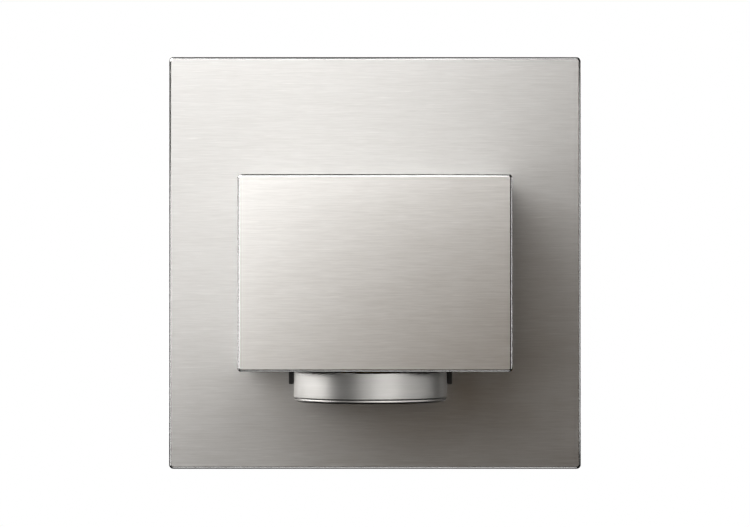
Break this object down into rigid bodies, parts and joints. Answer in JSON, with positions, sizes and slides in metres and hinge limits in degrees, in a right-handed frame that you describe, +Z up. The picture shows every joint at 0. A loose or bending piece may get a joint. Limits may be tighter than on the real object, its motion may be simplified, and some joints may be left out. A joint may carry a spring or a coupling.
{
  "type": "rocker wall switch",
  "caption": "Square brushed steel wall switch: a centre-return rocker on a deep raised housing, a turning knob under it, and a claw-fixed insert for a round wall box.",
  "frame": {"origin": "centre of the two box-screw slots of the support ring, on the wall surface, which is also the cover plate's centre", "axes": "+Z up, the switch faces -Y, +X to the right of somebody facing it; the insert lies at positive Y inside the wall"},
  "size_m": [0.08, 0.0651, 0.08],
  "materials": {
    "brushed_stainless": "fine horizontal brushing, satin",
    "turned_stainless": "fine brushing round the knob",
    "zinc_steel": "zinc plated, dull",
    "screw_steel": "zinc plated",
    "spring_steel": "bare",
    "black_plastic": "fine texture",
    "grey_plastic": "fine texture",
    "white_plastic": "fine texture",
    "red_plastic": "smooth",
    "brass": "bright",
    "copper": "enamelled wire",
    "aluminium": "rolled, satin",
    "circuit_board": "solder mask",
    "pin_board": "resin paper",
    "carbon": "printed carbon",
    "lead_insulation": "smooth",
    "fuse_glass": "clear"
  },
  "bodies": {
    "base": {"cover_plate": "brushed_stainless", "housing_shell": "brushed_stainless", "clip_frame": "black_plastic", "knob_guard": "black_plastic", "mechanism_frame": "black_plastic", "rocker_pins": "screw_steel", "upper_springs": "spring_steel", "lower_springs": "spring_steel", "button_board": "circuit_board", "board_contacts": "brass", "board_socket": "white_plastic", "board_screws": "screw_steel", "housing_screws": "screw_steel", "pot_track": "carbon", "pot_board": "pin_board", "pot_pins": "screw_steel", "pot_bushing": "brass", "pot_case": "zinc_steel", "pot_nut": "brass", "pot_washer": "spring_steel", "support_ring": "zinc_steel", "claw_pins": "spring_steel", "ring_screws": "screw_steel", "insert_base": "grey_plastic", "insert_cover": "grey_plastic", "lead_plug": "white_plastic", "flat_lead": "lead_insulation", "pot_leads": "lead_insulation", "heat_sink": "aluminium", "power_board": "circuit_board", "triac": "black_plastic", "choke": "copper", "capacitor": "red_plastic", "fuse": "fuse_glass", "fuse_clips": "brass", "wire_clamps": "brass", "clamp_springs": "spring_steel"},
    "rocker": {"rocker_plate": "brushed_stainless", "rocker_carrier": "black_plastic"},
    "upper_push": {"upper_plungers": "white_plastic", "upper_contact_bridges": "carbon"},
    "lower_push": {"lower_plungers": "white_plastic", "lower_contact_bridges": "carbon"},
    "knob": {"knob_shell": "turned_stainless", "knob_hub": "black_plastic", "pot_shaft": "brass", "pot_rotor": "white_plastic", "pot_wiper": "brass"},
    "claw_left": {"claw_left": "zinc_steel"},
    "claw_right": {"claw_right": "zinc_steel"},
    "claw_screw_left": {"claw_screw_left": "screw_steel"},
    "claw_screw_right": {"claw_screw_right": "screw_steel"},
    "claw_nut_left": {"claw_nut_left": "brass"},
    "claw_nut_right": {"claw_nut_right": "brass"},
    "release_left": {"release_lever_left": "white_plastic"},
    "release_right": {"release_lever_right": "white_plastic"}
  },
  "joints": [
    {"name": "rocker_tilt", "type": "hinge", "parent": "base", "child": "rocker", "pos_m": [0, -0.032, -0.00185], "axis": [1, 0, 0], "range_deg": [-3, 3], "stiffness_Nm_per_rad": 0.8},
    {"name": "upper_push_slide", "type": "slide", "parent": "base", "child": "upper_push", "axis": [0, 1, 0], "range_m": [-0.00056, 0.00056], "deforming": ["upper_springs"]},
    {"name": "lower_push_slide", "type": "slide", "parent": "base", "child": "lower_push", "axis": [0, 1, 0], "range_m": [-0.00056, 0.00056], "deforming": ["lower_springs"]},
    {"name": "knob_turn", "type": "hinge", "parent": "base", "child": "knob", "pos_m": [-0.00085, -0.0205, -0.0235], "axis": [0, 0, 1], "range_deg": [-150, 150]},
    {"name": "claw_screw_left_turn", "type": "hinge", "parent": "base", "child": "claw_screw_left", "pos_m": [-0.0262, 0, 0], "axis": [0, 1, 0], "range_deg": [0, 937]},
    {"name": "claw_left_swing", "type": "hinge", "parent": "base", "child": "claw_left", "pos_m": [-0.0223, 0.003, 0], "axis": [0, 0, 1], "range_deg": [0, 20]},
    {"name": "claw_nut_left_slide", "type": "slide", "parent": "base", "child": "claw_nut_left", "axis": [0, -1, 0], "range_m": [0, 0.00118]},
    {"name": "release_left_push", "type": "slide", "parent": "base", "child": "release_left", "axis": [0, -1, 0], "range_m": [0, 0.0012], "stiffness_N_per_m": 2500, "springref_m": -0.0005},
    {"name": "claw_screw_right_turn", "type": "hinge", "parent": "base", "child": "claw_screw_right", "pos_m": [0.0262, 0, 0], "axis": [0, 1, 0], "range_deg": [0, 937]},
    {"name": "claw_right_swing", "type": "hinge", "parent": "base", "child": "claw_right", "pos_m": [0.0223, 0.003, 0], "axis": [0, 0, -1], "range_deg": [0, 20]},
    {"name": "claw_nut_right_slide", "type": "slide", "parent": "base", "child": "claw_nut_right", "axis": [0, -1, 0], "range_m": [0, 0.00118]},
    {"name": "release_right_push", "type": "slide", "parent": "base", "child": "release_right", "axis": [0, -1, 0], "range_m": [0, 0.0012], "stiffness_N_per_m": 2500, "springref_m": -0.0005}
  ],
  "couplings": [
    {"joint": "lower_push_slide", "follows": "rocker_tilt", "m_per_rad": 0.0105},
    {"joint": "upper_push_slide", "follows": "rocker_tilt", "m_per_rad": -0.0105},
    {"joint": "claw_screw_left_turn", "follows": "claw_left_swing", "ratio": 46.8},
    {"joint": "claw_nut_left_slide", "follows": "claw_left_swing", "m_per_rad": 0.0033518},
    {"joint": "claw_screw_right_turn", "follows": "claw_right_swing", "ratio": 46.8},
    {"joint": "claw_nut_right_slide", "follows": "claw_right_swing", "m_per_rad": 0.0033518}
  ]
}
